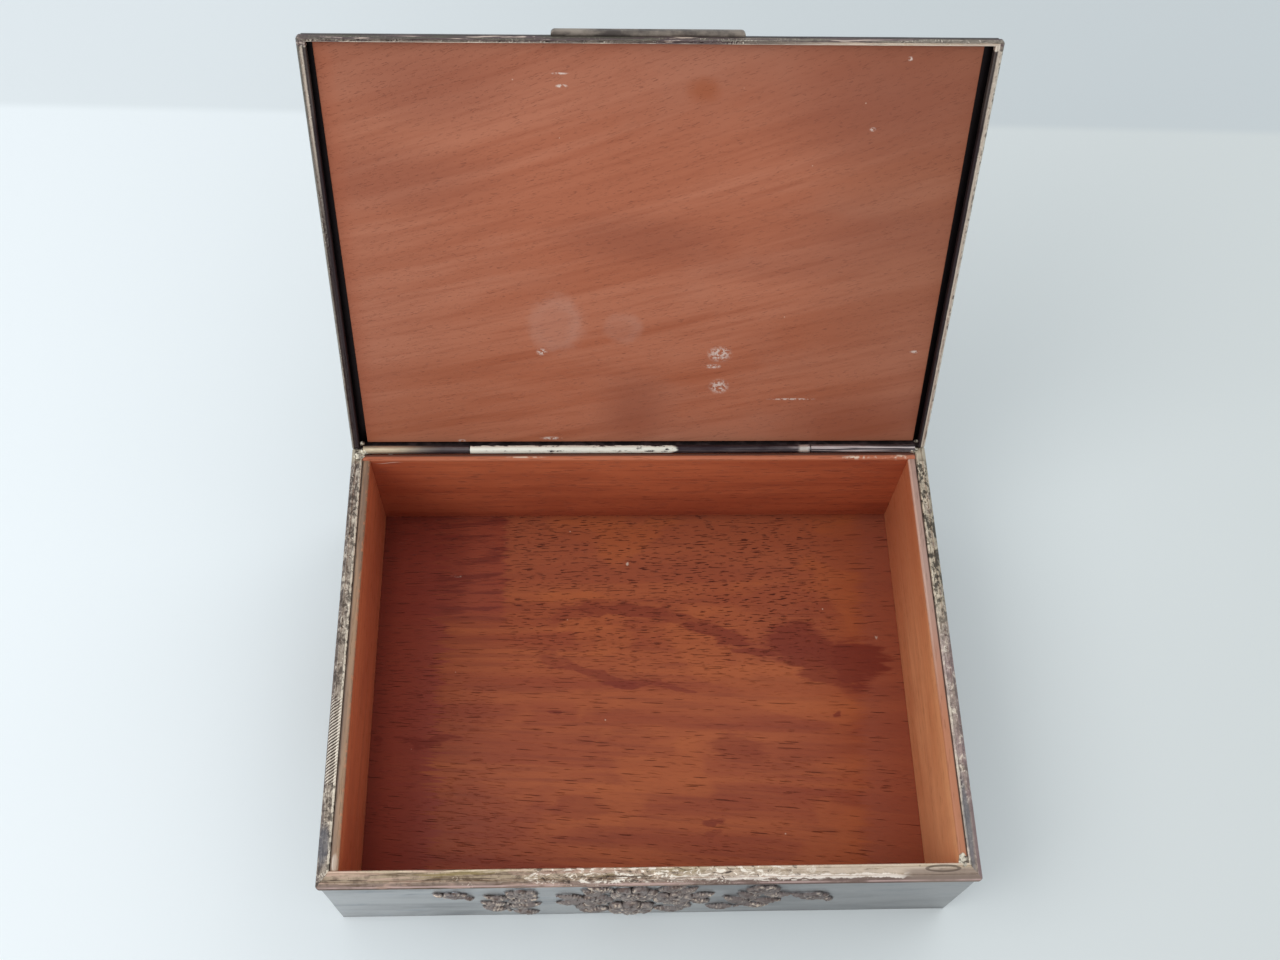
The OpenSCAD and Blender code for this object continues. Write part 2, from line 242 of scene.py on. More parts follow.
lamp((-0.75, -0.25, 0.95), (0, 0, 0.03), 0.7, 3.9, (1, 0.99, 0.97))
lamp((0.7, 0.5, 1.0), (0, 0, 0.03), 0.8, 1.4, (0.95, 0.98, 1))


# Walls with raised flowers
# The front and side walls are thin sheet, with roses and leaves beaten up from behind and chased
# from the front: cupped petals with rolled lips, veined leaves and stems. All sizes from here on
# are in millimetres.
wall_x = 99.0
wall_y = 74.0
in_wall_y = 73.0
rim_seat = 48.0
mid_z = rim_seat / 2
sheet_thick = 0.7
highest_rise = 3.1


def deselect():
    if bpy.context.object and bpy.context.object.mode != "OBJECT":
        bpy.ops.object.mode_set(mode="OBJECT")
    bpy.ops.object.select_all(action="DESELECT")


def sheet(name, cells_a, cells_b):
    """A flat grid, with the two shares (0 to 1) of every one of its points."""
    deselect()
    bpy.ops.mesh.primitive_grid_add(x_subdivisions=cells_a, y_subdivisions=cells_b, size=1)
    piece = bpy.context.object
    piece.name = name
    flat = np.empty(len(piece.data.vertices) * 3)
    piece.data.vertices.foreach_get("co", flat)
    flat = flat.reshape(-1, 3) + 0.5
    return piece, flat[:, 0], flat[:, 1]


def shape(piece, points, place, **kept):
    """Moves the points (millimetres) to their places and keeps values (0 to 1) at them."""
    turn = np.array(place)
    points = points @ turn[:3, :3].T + turn[:3, 3]
    piece.data.vertices.foreach_set("co", (points * 0.001).ravel())
    for name, values in kept.items():
        store = piece.data.attributes.new(name, "FLOAT", "POINT")
        store.data.foreach_set("value", np.clip(values, 0, 1).astype(np.float32))
    piece.data.update()


def step(values, low, high):
    t = np.clip((values - low) / (high - low), 0, 1)
    return t * t * (3 - 2 * t)


def hump(far):
    return np.sqrt(np.clip(1 - far * far, 0, None))


def unevenness(x, y, size, seed):
    """Slow swells and hollows of hand-worked sheet, from about -1 to 1."""
    luck = np.random.default_rng(seed)
    total = np.zeros_like(x)
    for _ in range(9):
        a, phase = luck.uniform(0, 2 * pi, 2)
        pitch = size * luck.uniform(0.6, 1.8)
        total += np.sin((x * cos(a) + y * sin(a)) * 2 * pi / pitch + phase)
    return total / 4


def petal(u, v, length, width, height):
    """A cupped petal about (0, 0), longer along u, with a rolled lip and a crease down it."""
    far = np.sqrt((u / length) ** 2 + (v / width) ** 2)
    cup = hump(far) ** 0.7 * (1 - 0.42 * np.exp(-((far / 0.5) ** 2)))
    crease = 0.14 * np.exp(-((v / (0.12 * width)) ** 2)) * step(u, -length, 0)
    return np.where(far < 1, height * (cup - crease), 0)


def add_rose(rise, x, y, centre, r, turn=0.0):
    """Three rings of petals. A ring has a count, a radius, a petal's two half sizes and height as
    shares of the rose's, and a lag."""
    rings = ((6, 0.62, 0.4, 0.37, 0.72, 0.0),
             (5, 0.32, 0.3, 0.29, 0.9, 0.35),
             (3, 0.12, 0.18, 0.16, 1.0, 0.1))
    dx, dy = x - centre[0], y - centre[1]
    for count, ring, length, width, height, lag in rings:
        for i in range(count):
            a = (i + lag) * 2 * pi / count + turn
            u = dx * cos(a) + dy * sin(a) - ring * r
            v = dy * cos(a) - dx * sin(a)
            rise = np.maximum(rise, petal(u, v, length * r, width * r, height * 0.36 * r))
    return rise


def add_leaf(rise, x, y, root, turn, length):
    """A pointed leaf with wavy sides, a middle vein and slanting ribs."""
    a = radians(turn)
    dx, dy = x - root[0], y - root[1]
    u = (dx * cos(a) + dy * sin(a)) / length
    v = dy * cos(a) - dx * sin(a)
    along = np.clip(u, 0.001, 0.999)
    half = 0.235 * length * np.sin(pi * along ** 0.85)
    half = half * (1 + 0.1 * np.sin(along * length * 5.2))
    far = np.abs(v) / half
    dome = np.sqrt(np.clip(1 - far ** 2.2, 0, None)) * (0.45 + 0.55 * np.sin(pi * along))
    vein = 0.34 * np.exp(-((v / 0.24) ** 2)) * (1 - 0.5 * along)
    rib_wave = 0.5 + 0.5 * np.cos(2 * pi * (along * length - 0.9 * np.abs(v)) / 1.3)
    ribs = 0.14 * rib_wave * step(far, 0.05, 0.4)
    inside = (u > 0) & (u < 1) & (far < 1)
    return np.maximum(rise, np.where(inside, 1.4 * dome * (1 - vein - ribs), 0))


def add_leaves(rise, x, y, leaves):
    for root_x, root_y, turn, length in leaves:
        rise = add_leaf(rise, x, y, (root_x, root_y), turn, length)
    return rise


def add_stem(rise, x, y, start, heading, bend_r, sweep, thick=0.6):
    """A round stem along an arc, from a start in a heading, thinner towards its end."""
    a = radians(heading)
    mid = np.array(start) + bend_r * np.array((-sin(a), cos(a)))
    dx, dy = x - mid[0], y - mid[1]
    angle = np.mod(np.arctan2(dy, dx) - (a - pi / 2), 2 * pi)
    off = np.abs(np.hypot(dx, dy) - bend_r)
    taper = np.clip(thick * (1 - 0.4 * angle / radians(sweep)), 0.05, None)
    return np.maximum(rise, np.where(angle < radians(sweep), taper * hump(off / taper), 0))


def add_bouquet(rise, x, y):
    """Four roses with twelve leaves round them. A leaf has a root, a heading and a length."""
    roses = (((-0.8, 10.6), 8.2, 0.2), ((-1.4, -11), 8.6, 0.5), ((-14, 1.6), 6.2, 0),
             ((12.8, 3.4), 7.2, 0.3))
    for centre, r, turn in roses:
        rise = add_rose(rise, x, y, centre, r, turn)
    return add_leaves(rise, x, y, (
        (-7.5, 14, 150, 11), (-12, 7.5, 128, 11), (-18, 4.5, 165, 10), (-18, -1, 192, 10),
        (-13, -4, 222, 11), (-8.5, -13, 196, 12), (7, 14.5, 28, 11), (14, 10, 48, 10),
        (18.5, 5.5, 14, 9), (18, -0.5, -18, 9), (13, -4, -48, 11), (6.5, -13, -14, 12)))


def add_spray(rise, x, y):
    """One rose at the head of a bent stem with leaves."""
    rise = add_stem(rise, x, y, (4, -16), 80, 40, 38)
    rise = add_rose(rise, x, y, (-0.5, 11), 5.2, 0.4)
    return add_leaves(rise, x, y, (
        (4.5, -12, 25, 9), (4.5, -8, 158, 12), (4.4, -4, 20, 9), (3.8, -1, 150, 11),
        (3.4, 4, 30, 9), (3, -15, 200, 9)))


def add_blossom(rise, x, y, r):
    """A lone rose with two leaves."""
    rise = add_rose(rise, x, y, (0, 0), r, 0.3)
    return add_leaves(rise, x, y, ((0.6 * r, -0.5 * r, -38, 1.1 * r),
                                   (-0.7 * r, 0.3 * r, 158, 1.0 * r)))


def front_flowers(x, y):
    """The bouquet left of the middle, a spray at each side of it and a blossom at each end."""
    shifted = x + 4
    rise = add_bouquet(np.zeros_like(x), shifted / 0.9, y)
    rise = add_spray(rise, -(shifted + 36), y)
    turn = radians(-24)
    across, up = shifted - 35, y - 3
    along = across * cos(turn) + up * sin(turn)
    rise = add_spray(rise, along, up * cos(turn) - across * sin(turn))
    rise = add_blossom(rise, shifted + 56, y - 9.5, 4.0)
    return add_blossom(rise, shifted - 56, y - 2.5, 4.7)


def side_flowers(x, y):
    return add_bouquet(np.zeros_like(x), x, y)


def edit(piece):
    bpy.context.view_layer.objects.active = piece
    piece.select_set(True)
    bpy.ops.object.mode_set(mode="EDIT")
    bpy.ops.mesh.select_all(action="SELECT")


def close_edge(piece, sharp, back=None):
    """Draws the open edge back by a way in metres, or merges the points that touch, and fills it.
    Only edges that turn by more than the angle sharp (degrees) stay sharp."""
    edit(piece)
    if not back:
        bpy.ops.mesh.remove_doubles(threshold=0.000004)
    bpy.ops.mesh.select_mode(type="EDGE")
    bpy.ops.mesh.select_all(action="DESELECT")
    bpy.ops.mesh.select_non_manifold(
        extend=False, use_wire=False, use_boundary=True, use_multi_face=False,
        use_non_contiguous=False, use_verts=False)
    if back:
        bpy.ops.mesh.extrude_region_move(TRANSFORM_OT_translate={"value": tuple(back)})
    bpy.ops.mesh.edge_face_add()
    bpy.ops.mesh.select_all(action="SELECT")
    bpy.ops.mesh.normals_make_consistent(inside=False)
    bpy.ops.object.mode_set(mode="OBJECT")
    bpy.ops.object.shade_smooth_by_angle(angle=radians(sharp))


def hollows_and_crests(values, columns):
    """0.5 on even ground, less in a hollow and more on a crest, for values at a grid's points."""
    grid = values.reshape(-1, columns)
    soft = grid
    for _ in range(4):
        wide = np.pad(soft, 1, mode="edge")
        soft = (wide[:-2, 1:-1] + wide[2:, 1:-1] + wide[1:-1, :-2] + wide[1:-1, 2:]) / 4
    return 0.5 + (grid - soft).ravel()


def beaten_sheet(name, node, body, half_w, half_h, cell, raised, place, finish):
    """A sheet about its own middle, raised along its own Z, and put in place by a matrix."""
    columns = round(2 * half_w / cell)
    piece, a, b = sheet(name, columns, round(2 * half_h / cell))
    x, y = (2 * a - 1) * half_w, (2 * b - 1) * half_h
    rise = raised(x, y)
    worked = step(rise, 0.02, 0.5)
    crumple = 0.13 * unevenness(x, y, 2.6, 7) + 0.08 * unevenness(x, y, 1.3, 8)
    dent = 0.06 * unevenness(x, y, 26, len(name)) - 0.13
    height = rise * 0.96 + np.clip(crumple, -0.2, 0.1) * worked + dent * (1 - worked)
    relief = 0.5 + (hollows_and_crests(height, columns + 1) - 0.5) * 2.2
    shape(piece, np.stack((x, y, height), 1), place, rise=rise / highest_rise, relief=relief)
    close_edge(piece, 50, place.to_3x3() @ Vector((0, 0, -1)) * sheet_thick * 0.001)
    piece.data.materials.append(finish)
    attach(piece, body)
    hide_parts(node)


def tarnished(finish, outside=1.0):
    """Silver plate: cloudy blue-grey, with the raised work brown, dark in its hollows and rubbed
    bright where it stands up, with a painted highlight laid there too. It is black with tarnish
    where it isn't the outside."""
    rise = finish.kept("rise")
    relief = finish.kept("relief")
    broad = finish.clouds((15, 15, 60), 5.0, 0.6, 0.6, 3.0)
    streaks = finish.clouds((42, 42, 170), 5.0, 0.62, 1.6, 5.0)
    fine = finish.clouds(420, 4.0, 0.65, seed=1.0)
    hand = finish.clouds(900, 3.0, 0.6)
    worked = rise.above(0.02, 0.07)
    patchy = finish.clouds(230, 4.0, 0.65, 0.5, 9.0)
    rubbed_and_highlight = relief.above(0.56, 0.86) * hand.above(0.4, 0.6) * patchy.above(0.42, 0.62)
    colour = finish.coats(
        (182, 182, 182),
        ((132, 132, 134), broad.above(0.36, 0.68)),
        ((142, 154, 166), streaks.above(0.52, 0.7) * 0.45),
        ((112, 108, 108), streaks.above(0.6, 0.8) * 0.6),
        ((104, 88, 74), fine.above(0.66, 0.74) * broad.above(0.5, 0.6) * 0.8),
        ((126, 106, 98), worked * (0.5 + broad * 0.5)),
        ((98, 74, 64), fine.above(0.48, 0.62) * worked * 0.7),
        ((50, 38, 34), relief.below(0.2, 0.49) * patchy.above(0.3, 0.62)),
        # Rubbed-bright crests that also carry a painted highlight.
        ((236, 216, 196), rubbed_and_highlight * worked),
        ((72, 66, 66), finish.z.below(0.0003, 0.0012) * 0.6),
        ((108, 106, 108), finish.x.above(-0.03, 0.09) * 0.42))
    colour = finish.coats((34, 27, 28), (colour, outside))
    rough = 0.3 + fine * 0.1 + worked * 0.14
    height = fine * 0.4 + (hand - 0.5) * worked * 1.2
    return finish.finished(colour, rough, 0.88 - worked * 0.2, height, 0.00012)


upright = Matrix.Rotation(pi / 2, 4, "X")
plate_finish = tarnished(Finish("tarnished_plate"))
for name, node, half_w, cell, raised, turn, foot in (
        ("front_sheet", "front_wall", wall_x, 0.36, front_flowers, 0.0, (0, -wall_y, mid_z)),
        ("right_sheet", "right_wall", in_wall_y, 0.4, side_flowers, 90.0, (wall_x, 0, mid_z)),
        ("left_sheet", "left_wall", in_wall_y, 0.4, side_flowers, -90.0, (-wall_x, 0, mid_z))):
    into = Matrix.Translation(foot) @ Matrix.Rotation(radians(turn), 4, "Z") @ upright
    beaten_sheet(name, node, "box", half_w, mid_z, cell, raised, into, plate_finish)


# Back wall and base
# Plain sheet of the same metal, with no raised work. The back wall closes the box behind, the flat
# base closes it below, and both are soldered along their edges.
def dress(node, finish):
    """Gives a solid that keeps its own shape a finish."""
    for place in frame["nodes"][node].material_slots:
        place.material = finish


plain = Finish("plain_plate")
broad = plain.clouds(18, 5.0, 0.6, 0.8)
fine = plain.clouds(380, 4.0, 0.6)
plain_colour = plain.coats(
    (180, 186, 190),
    ((128, 130, 132), (broad + fine * 0.3).above(0.45, 0.85)),
    ((84, 70, 58), fine.above(0.62, 0.75) * 0.7))
plain_finish = plain.finished(plain_colour, 0.36 + fine * 0.15, 0.85, fine, 0.0001)
dress("back_wall", plain_finish)
dress("base_plate", plain_finish)


# Lining boards
# Thin mahogany boards, glued in. Their grain runs along them, and the top edges that show as a lip
# beside the mouldings are greyer or paler, where fingers have worn the polish. The right board is a
# lighter copy of the wood, as painted light where the lamp falls on it, and its lip carries a
# painted highlight along its inner edge.
def soft_copy(node, name, body, edge, finish, segments=2):
    """A copy of a solid with its sharp edges eased by so much, in its place on a body."""
    deselect()
    piece = bpy.data.objects.new(name, frame["nodes"][node].data.copy())
    bpy.context.collection.objects.link(piece)
    piece.data.materials.clear()
    piece.data.materials.append(finish)
    edit(piece)
    bpy.ops.mesh.remove_doubles(threshold=0.000002)
    bpy.ops.mesh.dissolve_limited(angle_limit=radians(1))
    bpy.ops.object.mode_set(mode="OBJECT")
    bevel = piece.modifiers.new("eased", "BEVEL")
    bevel.width = edge * 0.001
    bevel.segments = segments
    bevel.limit_method = "ANGLE"
    bevel.angle_limit = radians(40)
    bpy.ops.object.modifier_apply(modifier="eased")
    bpy.ops.object.shade_smooth_by_angle(angle=radians(35))
    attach(piece, body)
    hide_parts(node)
    return piece


class Wood(Finish):
    """Mahogany with its grain along X, or along Y. The grain leans by so much, and by so much more
    for each metre across it."""
    def __init__(self, name, seed, along="X", lean=0.0, fan=0.0, frame_of=None):
        super().__init__(name)
        if frame_of:
            frame_of(self)
        run, across = (self.x, self.y) if along == "X" else (self.y, self.x)
        across = across + run * (across * fan + lean)
        self.grain = self.add("CombineXYZ", sockets={0: run, 1: across, 2: self.z})
        self.seed = seed

    def lines(self, length, thickness, detail=3.0, rough=0.55, warp=0.0, more=0.0):
        """Noise drawn out along the grain, with cells of this length and thickness."""
        cells = (1000 / length, 1000 / thickness, 1000 / thickness)
        return self.clouds(cells, detail, rough, warp, self.seed + more, self.grain)


def board(name, seed, along, light, mid, dark, pore, pore_share):
    """Striped mahogany in three tones, with dark pores. Gives its parts, to paint more with."""
    wood = Wood(name, seed, along)
    bands = wood.lines(140, 13, 4.0, 0.55, 0.5)
    streaks = wood.lines(38, 1.9)
    fibre = wood.lines(8, 0.4, 2.0, 0.5)
    patches = wood.clouds((16, 30, 30), 4.0, 0.6, 0.4, seed)
    pores = wood.lines(5.5, 0.5, 1.0, 0.5, more=5).above(0.62, 0.72)
    colour = wood.coats(
        mid,
        (light, bands.above(0.35, 0.7)),
        (dark, streaks.above(0.45, 0.75) * 0.45),
        (dark, patches.above(0.52, 0.75) * 0.45),
        (pore, pores * pore_share))
    return wood, colour, pores, fibre, streaks


def board_finish(wood, colour, pores, fibre):
    rough = 0.42 + pores * 0.2 + fibre * 0.1
    return wood.finished(colour, rough, 0.0, fibre * 0.3 - pores, 0.00015)


def scuffed(wood, colour, marks, noise, chalky):
    """The colour with small broken marks on it, at places and with half sizes in millimetres."""
    for centre, radii in marks:
        mark = wood.blot(centre, radii, 0.5, 1.2, noise)
        colour = wood.coats(colour, (chalky, mark * noise.above(0.44, 0.56)))
    return colour


wood, colour, pores, fibre, streaks = board(
    "mahogany_back", 2.0, "X", (204, 113, 74), (180, 92, 59), (148, 66, 44), (96, 42, 28), 0.4)
smudge = wood.clouds(420, 3.0, 0.6)
on_lip = wood.z.above(0.0482, 0.0494)
colour = wood.coats(
    colour,
    ((150, 62, 40), wood.x.below(-0.094, -0.06) * 0.5),
    ((150, 58, 38), wood.z.below(0.004, 0.02) * 0.4),
    ((184, 106, 72), on_lip * (0.4 + streaks * 0.7)),
    ((60, 36, 32), wood.y.above(0.0702, 0.0709) * on_lip * 0.85))
marks = (((75, 69.8), (4.5, 0.6)), ((84, 69.9), (2.2, 0.5)), ((90.5, 69.8), (2.6, 0.8)),
         ((-40, 70.2), (6, 0.3)))
worn_edge = scuffed(wood, colour, marks, smudge, (226, 200, 178))
bow = wood.add("Math", {"operation": "SINE"}, {0: (wood.x + 0.0873) * 480.0}) * 0.0005
scratch = wood.blot((-87.2, 47.9), (3.6, 0.17), 0.6, 0.5, smudge, wood.z - bow)
colour = wood.coats(
    colour,
    (worn_edge, on_lip),
    ((226, 206, 190), scratch * (1 - on_lip)))
soft_copy("back_lining", "back_board", "box", 0.2,
          board_finish(wood, colour, pores, fibre))

wood, colour, pores, fibre, streaks = board(
    "mahogany_front", 5.0, "X", (196, 104, 66), (172, 84, 52), (136, 60, 38), (92, 38, 24), 0.4)
soft_copy("front_lining", "front_board", "box", 0.25,
          board_finish(wood, colour, pores, fibre))

wood, colour, pores, fibre, streaks = board(
    "mahogany_left", 8.0, "Y", (213, 122, 80), (196, 105, 68), (162, 80, 53), (124, 58, 38), 0.25)
smudge = wood.clouds(500, 3.0, 0.6)
on_lip = wood.z.above(0.0486, 0.0495)
patch = wood.blot((-94.6, -67.3), (0.9, 2.6), 0.25, 0.5, smudge)
lip_colour = wood.coats(
    (164, 130, 102),
    ((132, 106, 88), streaks.above(0.35, 0.65)),
    ((196, 134, 98), wood.x.above(-0.0943, -0.0939) * smudge.above(0.5, 0.64) * 0.8),
    ((70, 52, 38), wood.x.below(-0.09575, -0.0953) * 0.85),
    ((218, 200, 184), patch * (0.35 + streaks.above(0.4, 0.6) * 0.6)))
colour = wood.coats(colour, (lip_colour, on_lip))
soft_copy("left_lining", "left_board", "box", 0.2,
          board_finish(wood, colour, pores, fibre))

# A lighter copy of the mahogany: painted light, where the lamp from the left falls on this board.
wood, colour, pores, fibre, streaks = board(
    "mahogany_right", 11.0, "Y", (242, 178, 126), (226, 156, 106), (190, 114, 74), (132, 70, 42),
    0.25)
smudge = wood.clouds(500, 3.0, 0.6)
on_lip = wood.z.above(0.0486, 0.0495)
to_front = wood.y.below(-0.03, 0.03)
lip_colour = wood.coats(
    (176, 142, 128),
    ((186, 114, 74), to_front * 0.85),
    # Painted highlight along the lip's inner edge, towards the back.
    ((222, 186, 168), wood.x.below(0.0938, 0.0943) * (1 - to_front) * 0.7),
    ((84, 58, 46), wood.x.above(0.0954, 0.09585) * 0.8))
colour = wood.coats(
    colour,
    # Painted light towards the front of the board and painted shade towards the back.
    ((252, 190, 138), wood.y.below(-0.07, -0.02) * 0.5),
    ((186, 100, 64), wood.y.above(-0.02, 0.066) * 0.7),
    (lip_colour, on_lip))
soft_copy("right_lining", "right_board", "box", 0.2,
          board_finish(wood, colour, pores, fibre))


# Floor board
# One board of the same mahogany, with its grain from side to side and short dark pores. Damp things
# have left dark red stains on it: a broad one down its left end, a chain of them behind its middle
# and a few spots.
wood = Wood("mahogany_floor", 14.0, lean=0.03, fan=-1.2)
bands = wood.lines(120, 9, 4.0, 0.55, 0.5)
streaks = wood.lines(34, 1.7)
fibre = wood.lines(7, 0.4, 2.0, 0.5)
patches = wood.clouds((14, 34, 30), 4.0, 0.6, 0.4, 3.0)
soak = wood.lines(20, 1.0, 4.0, 0.6, more=2)
ragged = wood.lines(13, 2.0, 5.0, 0.64, 0.5, more=4)
left_end = (wood.x + (soak - 0.5) * 0.03).below(-0.0725, -0.069)
upper_left = (wood.x + (soak - 0.5) * 0.012).below(-0.0502, -0.0474) * wood.y.above(0.022, 0.034)
right_end = (wood.x - wood.y * 0.075 + (soak - 0.5) * 0.012).above(0.0745, 0.0825)
front_left = wood.y.below(-0.06, -0.02) * wood.x.below(-0.06, -0.01)
damp = wood.lines(30, 3.2, 4.0, 0.6, 0.4, more=11).above(0.47, 0.56)
golden = wood.clouds((26, 40, 30), 3.0, 0.55, 0.4, 19.0).above(0.5, 0.6)
golden = golden * wood.x.above(-0.06, -0.03) * (1 - right_end)
stain = wood.blot((-68, 50), (6, 20), 0.5, 1.2, ragged) * 0.45
drift = wood.clouds((60, 130, 30), 3.0, 0.55, 0.3, 6.0)
for x, y, half_w, half_h, fall, share in (
        (-6, 31.5, 19, 2.4, 0.02, 0.8), (-12, 33, 8, 2.6, 0, 0.5), (-24, 29.5, 8, 2.0, -0.2, 0.5),
        (14, 29, 12, 1.7, 0.15, 0.6), (27, 22.4, 12, 3.4, 0.35, 0.85), (42, 15.6, 9, 1.4, 0.1, 0.8),
        (57, 18, 12, 6.5, 0.12, 0.9), (64, 13, 15, 5, 0.1, 0.9), (77, 10.5, 11, 8.5, 0, 1.0),
        (69, 6, 12, 4, 0, 0.8), (-30, 12, 6, 2.2, 0.35, 0.55), (-16, 7, 14, 1.6, 0.16, 0.7),
        (-7, 3.4, 7, 1.7, 0.05, 0.9), (4, 3.0, 10, 1.2, 0.12, 0.6), (13, 0.2, 6.5, 1.3, 0.1, 0.7),
        (-30.2, -7.1, 2.3, 0.9, 0, 0.8), (68.6, -9.3, 1.6, 1.3, 0, 0.9),
        (-73.4, -16.2, 11, 1.6, 0, 0.8), (-90.8, -16.6, 1.6, 1.3, 0, 0.8),
        (23.8, -46.1, 3.8, 1.4, 0, 0.8), (23, -50.3, 3.2, 1.1, 0, 0.5),
        (33.5, -20.5, 10, 5.2, 0.1, 0.5), (-22, -41, 9, 4, 0, 0.35)):
    level = wood.y + (wood.x - x * 0.001) * fall + (drift - 0.5) * 0.011
    stain = stain.larger(wood.blot((x, y), (half_w, half_h), 0.24, 1.5, ragged, level) * share)
shade = wood.x.below(-0.0945, -0.084).larger(wood.y.above(0.0655, 0.0695) * 0.8)
pores = wood.lines(4.2, 0.42, 1.0, 0.5, more=7).above(0.6, 0.7)
long_pores = wood.lines(11, 0.5, 1.0, 0.5, more=9).above(0.66, 0.73)
crowd = wood.y.above(-0.004, 0.026) * wood.x.above(-0.052, -0.044) * wood.x.below(0.062, 0.076)
pores = pores * (crowd * 0.8 + 0.15 + patches.above(0.42, 0.66) * 0.4)
pores = pores.larger(long_pores * (0.9 - crowd * 0.4))
smudge = wood.clouds(500, 3.0, 0.6)
colour = wood.coats(
    (148, 70, 43),
    ((170, 90, 52), bands.above(0.35, 0.68)),
    ((122, 54, 36), streaks.above(0.45, 0.7) * 0.4),
    ((130, 52, 34), patches.above(0.5, 0.72) * 0.4),
    ((164, 90, 62), wood.y.above(0.02, 0.06) * 0.65),
    ((146, 66, 49), upper_left * 0.75),
    ((104, 40, 34), damp * upper_left * 0.6),
    ((180, 98, 54), golden * 0.45),
    ((134, 52, 34), front_left * 0.4),
    ((156, 86, 66), right_end * 0.62),
    ((142, 62, 48), left_end * (0.6 + ragged * 0.5)),
    ((118, 44, 32), stain * 0.84),
    ((92, 34, 26), shade * 0.5),
    ((80, 30, 20), pores * 0.8),
    ((214, 190, 170), wood.dust(75.0) * 0.8))
marks = ((-66, 44.8), (2.2, 0.4)), ((-3.9, 49.4), (0.5, 0.8)), ((85.4, 20.4), (0.5, 1.2))
colour = scuffed(wood, colour, marks, smudge, (206, 186, 170))
rough = 0.48 + pores * 0.25 + stain * 0.1
soft_copy("floor_board", "floor_panel", "box", 0.1,
          wood.finished(colour, rough, 0.0, fibre * 0.3 - pores, 0.00018, 0.28))


# Rim mouldings of the body
# Thin strips pressed with leaves, scrolls and dots, mitred and soldered over the walls' edges. A
# bead runs along the inner edge, a ridge beside the outer slope, and the pressed field lies between
# them. It is all rubbed pale where it stands up and dark in the hollows.
body_h = 50.0
front_y = -75.0
front_rim_w = 5.4
side_rim_w = 3.9
tail_y = 73.85
strip_cell = 0.21
strip_rows = 56
corner_r = 1.5
hinge = frame["joints"][0]
axis = Vector(hinge["pos_m"]) * 1000
open_angle = radians(hinge["range_deg"][1])


def pressed(s, w, low, high, seed, crowd):
    """How far small leaves, scrolls and dots, strewn between two lines of a strip, stand up. There
    are so many to a millimetre."""
    luck = np.random.default_rng(seed)
    total = np.zeros_like(s)
    start, end = s.min(), s.max()
    for _ in range(int((end - start) * crowd)):
        kind, size, strength = luck.random(), luck.uniform(0.7, 1.25), luck.uniform(0.55, 1)
        middle, line = luck.uniform(start, end), luck.uniform(low, high)
        lean = luck.normal(-0.35, 0.5)
        near = np.abs(s - middle) < 3.4
        ds, dw = s[near] - middle, w[near] - line
        a = ds * cos(lean) + dw * sin(lean)
        b = dw * cos(lean) - ds * sin(lean)
        if kind < 0.75:
            notch = 1 - 0.25 * np.cos(a * 8) ** 2
            bump = hump(np.hypot(a / (1.9 * size), b / (0.5 * size))) * notch
            bump = bump * (1 - 0.5 * np.exp(-((b / 0.12) ** 2)))
        elif kind < 0.82:
            curl = np.arctan2(b, a) > -1.6
            bump = hump((np.hypot(a, b) - 0.6 * size) / 0.19) * curl
        else:
            bump = hump(np.hypot(a, b) / (0.33 * size))
        total[near] = np.maximum(total[near], bump * strength)
    return total


def hatched(s, w, start, end):
    """Slanting lines over one stretch, and how much they take the place of the pattern there."""
    share = step(s, start - 2, start) * (1 - step(s, end, end + 2))
    return share, 0.5 + 0.5 * np.cos(2 * pi * (s + 0.75 * w) / 1.05)


